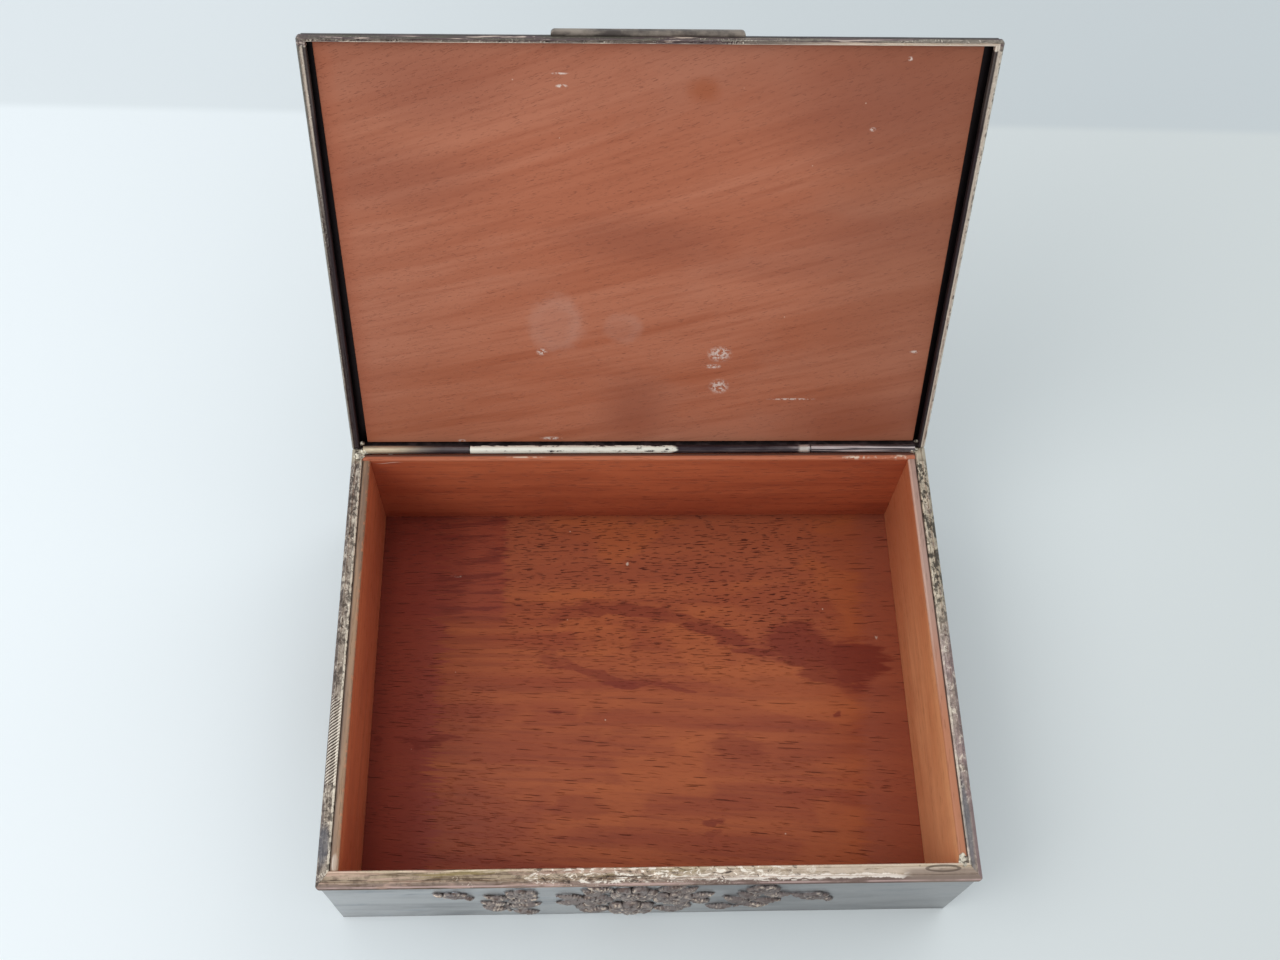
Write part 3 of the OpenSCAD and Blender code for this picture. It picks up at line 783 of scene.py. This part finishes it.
def strip(name, node, body, width, length, near_gain, far_gain, place, slope, seed, finish,
          hatch=None, tail=0.0, calm=None):
    """A strip with its outer edge along X from 0, its width along Y and its face up. Each end is
    drawn in by its gain for each millimetre of width, to meet the next strip. The tail is pressed
    down, clear of the open lid. The pattern is worn flat where calm, a function of the place along
    the strip, is near 1."""
    bead_w = min(0.95, width * 0.28)
    field = (slope + 0.42, width - bead_w)
    outline = [(0.1, -2.0), (0.0, -1.75), (0.0, -1.3), (0.1, -1.08)]
    outline += [(0.1 + (slope - 0.1) * t, -1.05 + 0.8 * t ** 0.8) for t in np.linspace(0.12, 1, 8)]
    outline += [(slope + 0.12, -0.12), (slope + 0.26, -0.1), (slope + 0.4, -0.2)]
    outline += [(t, -0.42) for t in np.linspace(slope + 0.5, width - bead_w, 14)]
    outline += [(width - bead_w / 2 + bead_w / 2 * cos(t), -0.4 + 0.4 * sin(t))
                for t in np.linspace(pi * 0.95, 0, 8)]
    outline = np.array(outline + [(width, -0.55), (width, -2.0), (0.1, -2.0)])
    lengths = np.concatenate(((0,), np.cumsum(np.hypot(*np.diff(outline, axis=0).T))))
    columns = round(length / strip_cell)
    piece, a, b = sheet(name, columns, strip_rows)
    w = np.interp(b * lengths[-1], lengths, outline[:, 0])
    z = np.interp(b * lengths[-1], lengths, outline[:, 1])
    s = w * near_gain + (length - w * (near_gain + far_gain)) * a
    face = (z > -1.07) & (w > 0.06) & (w < width - 0.05)
    pattern = pressed(s, w, field[0] - 0.2, field[1], seed, 1.5)
    pattern = pattern * (w > field[0] - 0.5) * (w < field[1] + 0.25)
    teeth = pressed(s, w, 0.2, slope, seed + 1, 1.6) * (w <= slope + 0.2)
    if hatch:
        share, lines = hatched(s, w, *hatch)
        pattern = pattern * (1 - share) + lines * share * (w > 0.5)
        teeth = teeth * (1 - share) + lines * share * (w > 0.3)
    worn = np.clip(0.75 + 0.4 * unevenness(s, w * 0.4, 30, seed), 0.3, 1)
    if calm:
        worn = worn * (1 - calm(s))
    pattern, teeth = pattern * worn, teeth * worn
    z = z + (0.36 * pattern + 0.24 * teeth) * face
    z = z + 0.05 * unevenness(s, w * 2, 13, seed + 1) - 0.04
    z = np.minimum(z, 0)
    for gain, gap in ((near_gain, s), (far_gain, length - s)):
        if gain:
            round_in = np.clip(corner_r - gap, 0, corner_r)
            w = np.maximum(w, corner_r - np.sqrt(corner_r ** 2 - round_in ** 2))
    if tail:
        lean_sin, lean_cos = 0.3746, 0.927
        lid_face = 0.15 - (0.3 + lean_sin * (tail_y - s - axis.y)) / lean_cos
        z = np.where(s < tail, np.maximum(np.minimum(z, lid_face), -1.5), z)
    bead = (w > width - bead_w) & (w < width - 0.03)
    rise = np.where(face, 0.16 + 0.84 * np.maximum(pattern, teeth * 0.8), 0.08)
    rise = np.where(bead, 0.62 + 0.2 * unevenness(s, w, 9, seed + 2), rise)
    relief = hollows_and_crests(np.maximum(pattern, teeth) * face, columns + 1)
    shape(piece, np.stack((s, w, z), 1), place, rise=rise, relief=relief, across=w / width)
    close_edge(piece, 60)
    piece.data.materials.append(finish)
    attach(piece, body)
    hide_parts(node)


def worn_silver(finish, hollow, field, crest, outer, inner):
    """Pressed silver, from a hollow's colour through the field's to a crest's, with its outer band
    and its inner bead of their own colours."""
    rise = finish.kept("rise")
    relief = finish.kept("relief")
    across = finish.kept("across")
    broad = finish.clouds(45, 4.0, 0.6, 0.5)
    fine = finish.clouds(1100, 3.0, 0.65)
    spots = finish.clouds(420, 3.0, 0.6, seed=2.0)
    colour = finish.coats(
        field,
        (outer, across.below(0.2, 0.38) * 0.85),
        (hollow, spots.above(0.48, 0.68) * 0.5),
        (inner, across.above(0.76, 0.84) * (0.4 + broad * 0.7)),
        (hollow, relief.below(0.2, 0.49) * 0.9),
        (crest, relief.above(0.53, 0.74) * (0.35 + broad * 0.9)),
        (crest, rise.above(0.5, 0.95) * broad.above(0.35, 0.6) * 0.5),
        (hollow, fine.above(0.56, 0.72) * 0.5),
        (hollow, across.below(0.01, 0.05) * 0.7))
    return finish, colour, across, broad, fine, 0.36 + fine * 0.16


worn, colour, across, broad, fine, rough = worn_silver(
    Finish("worn_front"), (92, 76, 66), (176, 156, 134), (246, 232, 214), (136, 116, 108),
    (224, 204, 176))
to_right = worn.x.above(-0.01, 0.035)
to_left = 1 - to_right
rubbed = worn.clouds((70, 900, 900), 4.0, 0.62, 0.6, 7.0)
tinted = worn.clouds((38, 420, 420), 4.0, 0.6, 0.6, 12.0)
plain_end = worn.x.above(0.074, 0.08)
scallop = across + (worn.clouds((300, 60, 60), 3.0, 0.6, seed=4.0) - 0.5) * 0.4
ridge = scallop.above(0.25, 0.29) * scallop.below(0.46, 0.52) * (1 - plain_end)
lively = worn.x.above(-0.045, -0.03) * worn.x.below(0.035, 0.06) * across.above(0.12, 0.2)
highlight_and_shade_dashes = worn.clouds((240, 520, 520), 4.0, 0.65, 1.2, 15.0)
far = worn.blot((88.2, -71.2), (5.4, 1.1), 0.15) - worn.blot((88.2, -71.2), (4.4, 0.55), 0.2)
crease = across.above(0.44, 0.46) * across.below(0.48, 0.51) * rubbed.above(0.4, 0.52)
edge_line = across.above(0.03, 0.06) * across.below(0.1, 0.14)
colour = worn.coats(
    colour,
    ((96, 76, 58), rubbed.above(0.5, 0.62) * to_left * 0.75),
    ((206, 172, 156), tinted.above(0.5, 0.6) * to_left * 0.6),
    ((146, 128, 78), tinted.below(0.36, 0.46) * across.above(0.4, 0.6) * to_left * 0.7),
    ((212, 194, 176), across.above(0.46, 0.52) * rubbed.above(0.4, 0.5) * to_right * 0.7),
    ((116, 94, 88), across.below(0.22, 0.3) * to_right * 0.6),
    ((246, 234, 222), ridge * to_right * (0.4 + broad * 0.9)),
    # Painted highlights and painted shade in short dashes along the middle stretch of the moulding.
    ((250, 240, 226), highlight_and_shade_dashes.above(0.54, 0.6) * lively * 0.9),
    ((70, 58, 52), highlight_and_shade_dashes.below(0.36, 0.43) * lively * 0.9),
    ((146, 128, 116), plain_end * across.below(0.6, 0.8) * 0.8),
    ((84, 70, 60), far.above(0.2, 0.6) * 0.7),
    ((66, 50, 42), crease * to_left * 0.8),
    ((206, 176, 170), edge_line * broad.above(0.38, 0.56) * 0.7))
front_finish = worn.finished(colour, rough, 0.75, fine, 0.00008)

worn, colour, across, broad, fine, rough = worn_silver(
    Finish("worn_sides"), (72, 62, 58), (164, 150, 136), (242, 230, 214), (122, 108, 102),
    (228, 216, 196))
to_right = worn.x.above(-0.01, 0.01)
to_left = 1 - to_right
to_back = worn.y.above(-0.005, 0.02)
leafy = worn.clouds((300, 210, 300), 5.0, 0.72, 0.2, 4.0)
hatch_zone = worn.y.above(-0.0435, -0.042) * worn.y.below(-0.0175, -0.016) * to_left
mottle = worn.clouds((620, 420, 620), 4.0, 0.65, 0.6, 8.0)
mottle_share = mottle.above(0.52, 0.58) * (1 - hatch_zone)
patch = worn.blot((-98.6, -62), (1.8, 6), 0.4, 0.5, broad)
patch = patch + worn.blot((97.4, -58), (1.1, 14), 0.4, 0.5, broad)
solder_end = worn.y.above(0.0672, 0.0696) * (0.5 + broad * 0.7)
colour = worn.coats(
    colour,
    ((160, 134, 136), broad.above(0.45, 0.6) * to_right * (1 - to_back) * 0.6),
    ((70, 60, 54), mottle_share * (0.75 - to_right * (1 - to_back) * 0.4)),
    ((232, 220, 202), mottle.below(0.38, 0.44) * (0.6 - hatch_zone * 0.4)),
    ((206, 192, 168), leafy.above(0.38, 0.46) * to_right * to_back * 0.6),
    ((60, 55, 49), leafy.above(0.48, 0.55) * to_right * to_back * 0.9),
    ((104, 104, 110), patch * 0.75),
    ((150, 126, 126), across.below(0.3, 0.42) * to_right * worn.y.below(-0.06, -0.03) * 0.7),
    ((186, 174, 154), solder_end))
side_finish = worn.finished(colour, rough, 0.75, fine, 0.00008)

quarter_back = Matrix.Rotation(-pi / 2, 4, "Z")
mirror_x = Matrix.Scale(-1, 4, (1, 0, 0))
side_length = tail_y - front_y
left_place = Matrix.Translation((-100, tail_y, body_h)) @ quarter_back
strip("front_strip", "front_rim", "box", front_rim_w, 200, side_rim_w / front_rim_w,
      side_rim_w / front_rim_w, Matrix.Translation((-100, front_y, body_h)), 1.6, 5, front_finish,
      calm=lambda s: 0.6 - 0.6 * step(s, 55, 80) + 0.5 * step(s, 126, 142))
strip("left_strip", "left_rim", "box", side_rim_w, side_length, 0, front_rim_w / side_rim_w,
      left_place, 1.2, 6, side_finish, (90.5, 116.5), 1.0)
strip("right_strip", "right_rim", "box", side_rim_w, side_length, 0, front_rim_w / side_rim_w,
      mirror_x @ left_place, 1.2, 9, side_finish, None, 1.0, lambda s: 0.8 * step(s, 118, 132))


# Hinge
# Three lengths of thin tube on one pin, let into the back edge. It has been mended with soft
# solder, smeared white over the left half of the lid's tube and left in lumps at both ends.
tube = Finish("dull_tube")
broad = tube.clouds((55, 200, 200), 4.0, 0.6, 0.5)
fine = tube.clouds((500, 900, 900), 3.0, 0.6)
drawn = tube.clouds((24, 1600, 1600), 3.0, 0.6)
over = tube.z.above(0.0503, 0.0512)
smear_end = tube.x + (broad - 0.5) * 0.012 + (1 - over) * 0.002
smear = smear_end.below(0.0108, 0.0126) * tube.x.above(-0.0592, -0.059)
bare = tube.y.above(0.073, 0.0742) * 0.2
smear = smear * (fine * 0.7 + drawn * 0.5 + broad * 0.5 - bare).above(0.66, 0.76)
# Painted highlights: cream streaks along the top of the left tube and pale streaks on the right
# one.
left_tube_highlight = (tube.x + (broad - 0.5) * 0.02).below(-0.09, -0.066)
right_tube_highlight = (tube.x + (broad - 0.5) * 0.02).above(0.052, 0.058)
blob = tube.blot((57, 0), (1.7, 400), 0.4, 0.9, fine)
tube_colour = tube.coats(
    (50, 40, 46),
    ((112, 104, 104), (broad * 0.6 + drawn * 0.6).above(0.5, 0.85)),
    ((196, 180, 154), left_tube_highlight * (0.25 + drawn.above(0.36, 0.56) * 0.75)),
    ((204, 192, 190), right_tube_highlight * drawn.above(0.46, 0.6) * 0.85),
    ((214, 206, 196), blob * 0.8),
    ((234, 232, 218), smear * (0.8 + fine * 0.3)),
    # Painted shade on the underside of the tubes.
    ((34, 24, 28), tube.z.below(0.0496, 0.0502) * 0.85))
tube_finish = tube.finished(tube_colour, 0.42 + fine * 0.2, 0.7 - smear * 0.5,
                            fine * 0.5 + broad * 0.5, 0.00025)
for node, name, body in (
        ("left_knuckle", "left_tube", "box"), ("right_knuckle", "right_tube", "box"),
        ("lid_knuckle", "lid_tube", "lid")):
    soft_copy(node, name, body, 0.12, tube_finish)
dress("hinge_pin", plain_finish)

solder = Finish("soft_solder")
broad = solder.clouds(300, 4.0, 0.6)
speckle = solder.clouds(1200, 3.0, 0.6)
solder_colour = solder.coats(
    (214, 205, 186),
    ((120, 108, 96), broad.above(0.42, 0.6)),
    ((66, 56, 50), speckle.above(0.52, 0.62) * 0.8))
solder_finish = solder.finished(solder_colour, 0.4, 0.7, broad, 0.0003)


def solder_lump(name, body, centre, radii, seed):
    """A drop of solder: a ball, flattened and dented."""
    deselect()
    bpy.ops.mesh.primitive_ico_sphere_add(subdivisions=4, radius=1)
    piece = bpy.context.object
    piece.name = name
    points = np.array([v.co for v in piece.data.vertices])
    dents = unevenness(points[:, 0] * 3 + points[:, 2] * 2, points[:, 1] * 3, 2.2, seed)
    swell = 0.86 + 0.14 * np.clip(dents, -1, 1)
    shape(piece, points * swell[:, None] * np.array(radii) + np.array(centre), Matrix.Identity(4))
    bpy.ops.object.shade_smooth()
    piece.data.materials.append(solder_finish)
    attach(piece, body)


solder_lump("solder_back_left", "box", (-95.2, 72.6, 50.0), (2.2, 1.5, 1.35), 1)
solder_lump("solder_back_right", "box", (95.4, 72.6, 50.0), (2.0, 1.5, 1.3), 2)
solder_lump("solder_corner_left", "box", (-97.2, 71.3, 49.9), (2.2, 2.0, 0.5), 6)
solder_lump("solder_front_right", "box", (94.6, -68.8, 49.75), (1.7, 2.2, 0.3), 4)


# Lid
# A shallow tray of the same sheet. It is built in its shut place and turned open about the hinge,
# and its top carries the same flowers, larger, inside a beaded line.
lid_z = 50.3
lid_front_y = -75.3
lid_wall_y = -74.3
plate_z = 54.4
lid_mid_y = (lid_wall_y + wall_y) / 2
lid_half_d = (wall_y - lid_wall_y) / 2
opened = (Matrix.Translation(axis) @ Matrix.Rotation(-open_angle, 4, "X")
          @ Matrix.Translation(-axis))


def shut_place(finish):
    """Makes a finish look at the places that its surface has in the shut lid."""
    pin = tuple(axis * 0.001)
    moved = finish.add("VectorMath", {"operation": "SUBTRACT"}, {0: finish.spot, 1: pin})
    turned = finish.add("VectorRotate", {"rotation_type": "X_AXIS"},
                        {"Vector": moved, "Angle": open_angle})
    finish.look_at(finish.add("VectorMath", {"operation": "ADD"}, {0: turned, 1: pin}))


def lid_flowers(x, y):
    """The bouquet between two sprays, inside a square line of beads."""
    big = 1.3
    rise = big * add_bouquet(np.zeros_like(x), x / big, y / big)
    for side in (-1, 1):
        rise = np.maximum(rise, big * add_spray(np.zeros_like(x), side * (x / big) - 36, y / big))
    along_x, along_y = lid_half_d - 6.5, 93.0
    off_x = np.abs(np.abs(y) - along_x)
    off_y = np.abs(np.abs(x) - along_y)
    inside = (np.abs(x) < along_y + 0.7) & (np.abs(y) < along_x + 0.7)
    rope = 0.6 + 0.06 * np.sin((x + y) * 2 * pi / 1.6)
    return np.maximum(rise, np.where(inside, rope * hump(np.minimum(off_x, off_y) / 0.7), 0))


lid_finish = Finish("tarnished_lid")
shut_place(lid_finish)
beaten_sheet("lid_sheet", "lid_plate", "lid", wall_x, lid_half_d, 0.6, lid_flowers,
             opened @ Matrix.Translation((0, lid_mid_y, plate_z + 1)),
             tarnished(lid_finish, lid_finish.z.above(0.0548, 0.0551)))

# The lid's flanges are painted near black: painted shade in the channel between the mouldings and
# the panel.
dark = Finish("dark_channel")
broad = dark.clouds(60, 3.0, 0.6)
fine = dark.clouds(300, 4.0, 0.6)
flange_shade_colour = dark.coats((40, 31, 33), ((86, 69, 70), fine.above(0.4, 0.7) * (0.5 + broad)))
flange_shade_finish = dark.finished(flange_shade_colour, 0.6, 0.3, fine, 0.0001)
for node in ("lid_front_flange", "lid_back_flange", "lid_left_flange", "lid_right_flange"):
    dress(node, flange_shade_finish)


# Lid panel
# A thin panel of the same wood, pressed into the lid with a gap at its sides and back, and slightly
# askew. Its polish has gone hazy and pinkish, the grain runs uphill, and it carries two faint
# rings, scuffs, a scratch and a rusty spot.
wood = Wood("mahogany_lid", 21.0, lean=0.28, fan=-1.5, frame_of=shut_place)
bands = wood.lines(150, 12, 4.0, 0.55, 0.5)
streaks = wood.lines(34, 2.2, 3.0, 0.6)
fibre = wood.lines(5, 0.4, 2.0, 0.5)
haze = wood.clouds((11, 16, 16), 4.0, 0.6, 0.4)
smudge = wood.clouds(260, 4.0, 0.65)
pores = wood.lines(1.9, 0.3, 1.0, 0.5, more=3).above(0.62, 0.72)
sides = wood.x.above(0.03, 0.08) * 0.24 + wood.x.below(-0.08, -0.03) * 0.18
colour = wood.coats(
    (179, 103, 72),
    ((190, 117, 87), bands.above(0.38, 0.62)),
    ((158, 82, 52), streaks.above(0.42, 0.72) * 0.42),
    ((187, 128, 104), haze.above(0.48, 0.74) * 0.42),
    ((150, 86, 62), wood.y.below(-0.075, -0.03) * 0.45),
    ((150, 84, 54), wood.x.above(0.04, 0.09) * wood.y.below(-0.01, 0.05) * 0.35),
    ((136, 82, 58), sides))
for x, y, half_w, half_h, share in (
        (-64, -60, 20, 10, 0.35), (-80, -30, 26, 9, 0.35), (70, -55, 30, 16, 0.5),
        (0, -9, 22, 7, 0.4), (-2, 58, 11, 14, 0.45), (76, 62, 30, 9, 0.4), (75, -12, 30, 8, 0.3),
        (40, 0, 30, 5, 0.25)):
    dark_patch = wood.blot((x, y), (half_w, half_h), 0.7, 1.2, haze)
    colour = wood.coats(colour, ((140, 72, 50), dark_patch * share))
colour = wood.coats(
    colour,
    ((172, 92, 60), wood.x.below(-0.095, -0.088) * 0.5),
    ((122, 62, 44), pores * smudge.above(0.42, 0.62) * 0.5))
for x, y, half_w, half_h, share in ((-28.5, 22.5, 8.3, 10.5, 0.3), (-7, 24, 6, 5.5, 0.22)):
    inner = wood.blot((x, y), (half_w, half_h), 0.3, 0.7, smudge)
    core = wood.blot((x - 1, y), (half_w * 0.72, half_h * 0.72), 0.4, 0.7, smudge)
    colour = wood.coats(colour, ((204, 164, 148), (inner - core * 0.45) * share))
rust = wood.blot((15.3, -59), (4.2, 3.4), 0.6, 0.8, smudge)
colour = wood.coats(colour, ((158, 78, 36), rust * 0.6))
marks = (((25.4, 34.4), (3.4, 2.6)), ((23.5, 39.4), (2.4, 0.8)), ((26.0, 47.8), (2.8, 2.6)),
         ((51, 53.2), (7, 0.35)), ((-26, -60.1), (1.6, 0.5)), ((-26.4, -63.9), (2.2, 0.3)),
         ((90.6, 33.5), (1.4, 0.5)), ((-33.6, 33.4), (1.5, 1.2)), ((-31, 70), (3.2, 0.6)),
         ((-62, 71), (1.2, 0.5)), ((74, -69), (0.7, 0.6)), ((66, -47), (0.8, 0.6)))
colour = scuffed(wood, colour, marks, wood.clouds(800, 3.0, 0.65), (226, 204, 192))
colour = wood.coats(colour, ((222, 190, 170), wood.dust(85.0) * 0.6))
lid_panel = soft_copy(
    "lid_panel", "lid_wood", "lid", 0.25,
    wood.finished(colour, 0.5 + haze * 0.12, 0.0, fibre * 0.3 - pores, 0.00006, 0.4))
warped = Matrix(((0.996, 0.0071, 0, 0.03), (0, 1, 0, 0), (0, 0, 1, 0), (0, 0, 0, 1)))
askew = opened @ warped @ opened.inverted()
askew.translation *= 0.001
lid_panel.data.transform(askew)


# Rim mouldings of the lid
# The same pressed strips, narrower, on the lid's front and sides. When it is shut their faces lie
# just above the body's mouldings.
lid_rim_w = 2.8
lid_front_rim_w = 1.6
lid_side_length = in_wall_y - lid_front_y
face_down = Matrix.Scale(-1, 4, (0, 0, 1))
lid_left_place = Matrix.Translation((-100, in_wall_y, lid_z)) @ face_down @ quarter_back
lid_worn = Finish("worn_lid_rims")
shut_place(lid_worn)
worn, colour, across, broad, fine, rough = worn_silver(
    lid_worn, (62, 52, 50), (146, 132, 122), (238, 226, 210), (132, 124, 112), (236, 218, 200))
sides = worn.y.above(-0.0725, -0.072)
inner_half_shade = across.above(0.62, 0.7) + across.above(0.3, 0.42) * worn.y.above(-0.06, 0.0)
to_right = worn.x.above(-0.01, 0.01)
to_left = 1 - to_right
near_hinge = worn.y.above(-0.06, 0.0)
cream_band = across.above(0.3, 0.36) * across.below(0.56, 0.62) * (1 - near_hinge * to_left)
speckle = worn.clouds((800, 500, 800), 3.0, 0.6, seed=5.0)
pale_edge = across.below(0.3, 0.42) * to_right * sides
streaky = worn.clouds((45, 700, 700), 4.0, 0.6, 0.5, 3.0)
cream_bead = across.above(0.45, 0.55) * worn.x.above(0.02, 0.06) * (1 - sides)
colour = worn.coats(
    colour,
    ((88, 84, 74), across.below(0.26, 0.34) * to_left * (1 - near_hinge) * 0.7),
    ((226, 208, 190), cream_band * sides * (0.5 + broad * 0.5)),
    ((226, 214, 198), pale_edge * speckle.above(0.4, 0.5) * 0.8),
    # Painted shade over the inner half of the side mouldings, standing for the shadowed channel
    # beside the panel.
    ((54, 42, 44), inner_half_shade * sides * (1 - cream_band) * 0.9),
    ((98, 80, 84), streaky.above(0.45, 0.56) * (1 - sides) * 0.8),
    ((232, 212, 196), streaky.above(0.57, 0.64) * (1 - sides) * 0.9),
    ((240, 224, 206), cream_bead * (0.4 + broad * 0.9)))
lid_rim_finish = worn.finished(colour, rough, 0.7, fine, 0.00008)
strip("lid_front_strip", "lid_front_rim", "lid", lid_front_rim_w, 200,
      lid_rim_w / lid_front_rim_w, lid_rim_w / lid_front_rim_w,
      opened @ Matrix.Translation((-100, lid_front_y, lid_z)) @ face_down, 0.3, 12, lid_rim_finish)
strip("lid_left_strip", "lid_left_rim", "lid", lid_rim_w, lid_side_length, 0,
      lid_front_rim_w / lid_rim_w, opened @ lid_left_place, 0.6, 14, lid_rim_finish)
strip("lid_right_strip", "lid_right_rim", "lid", lid_rim_w, lid_side_length, 0,
      lid_front_rim_w / lid_rim_w, opened @ mirror_x @ lid_left_place, 0.6, 15, lid_rim_finish)
for name, centre, radii, seed in (
        ("solder_ball", (-96.3, 71.0, lid_z + 0.95), (0.85, 0.85, 0.85), 5),
        ("solder_lid_right", (97.1, 71.6, lid_z + 1.9), (1.3, 0.8, 0.6), 7)):
    solder_lump(name, "lid", tuple(opened @ Vector(centre)), radii, seed)


# Thumb tab
# A short thick strip of the same metal, soldered behind the middle of the lid's front moulding. The
# lid is lifted by it, so fingers keep it dark and smooth.
tab_metal = Finish("handled_tab")
fine = tab_metal.clouds(500, 3.0, 0.6)
broad = tab_metal.clouds((60, 160, 160), 3.0, 0.6)
tab_colour = tab_metal.coats((88, 80, 76), ((160, 148, 136), (broad + fine * 0.3).above(0.5, 0.8)))
soft_copy("thumb_tab", "lid_tab", "lid", 0.25,
          tab_metal.finished(tab_colour, 0.4, 0.75, fine, 0.0001), 3)
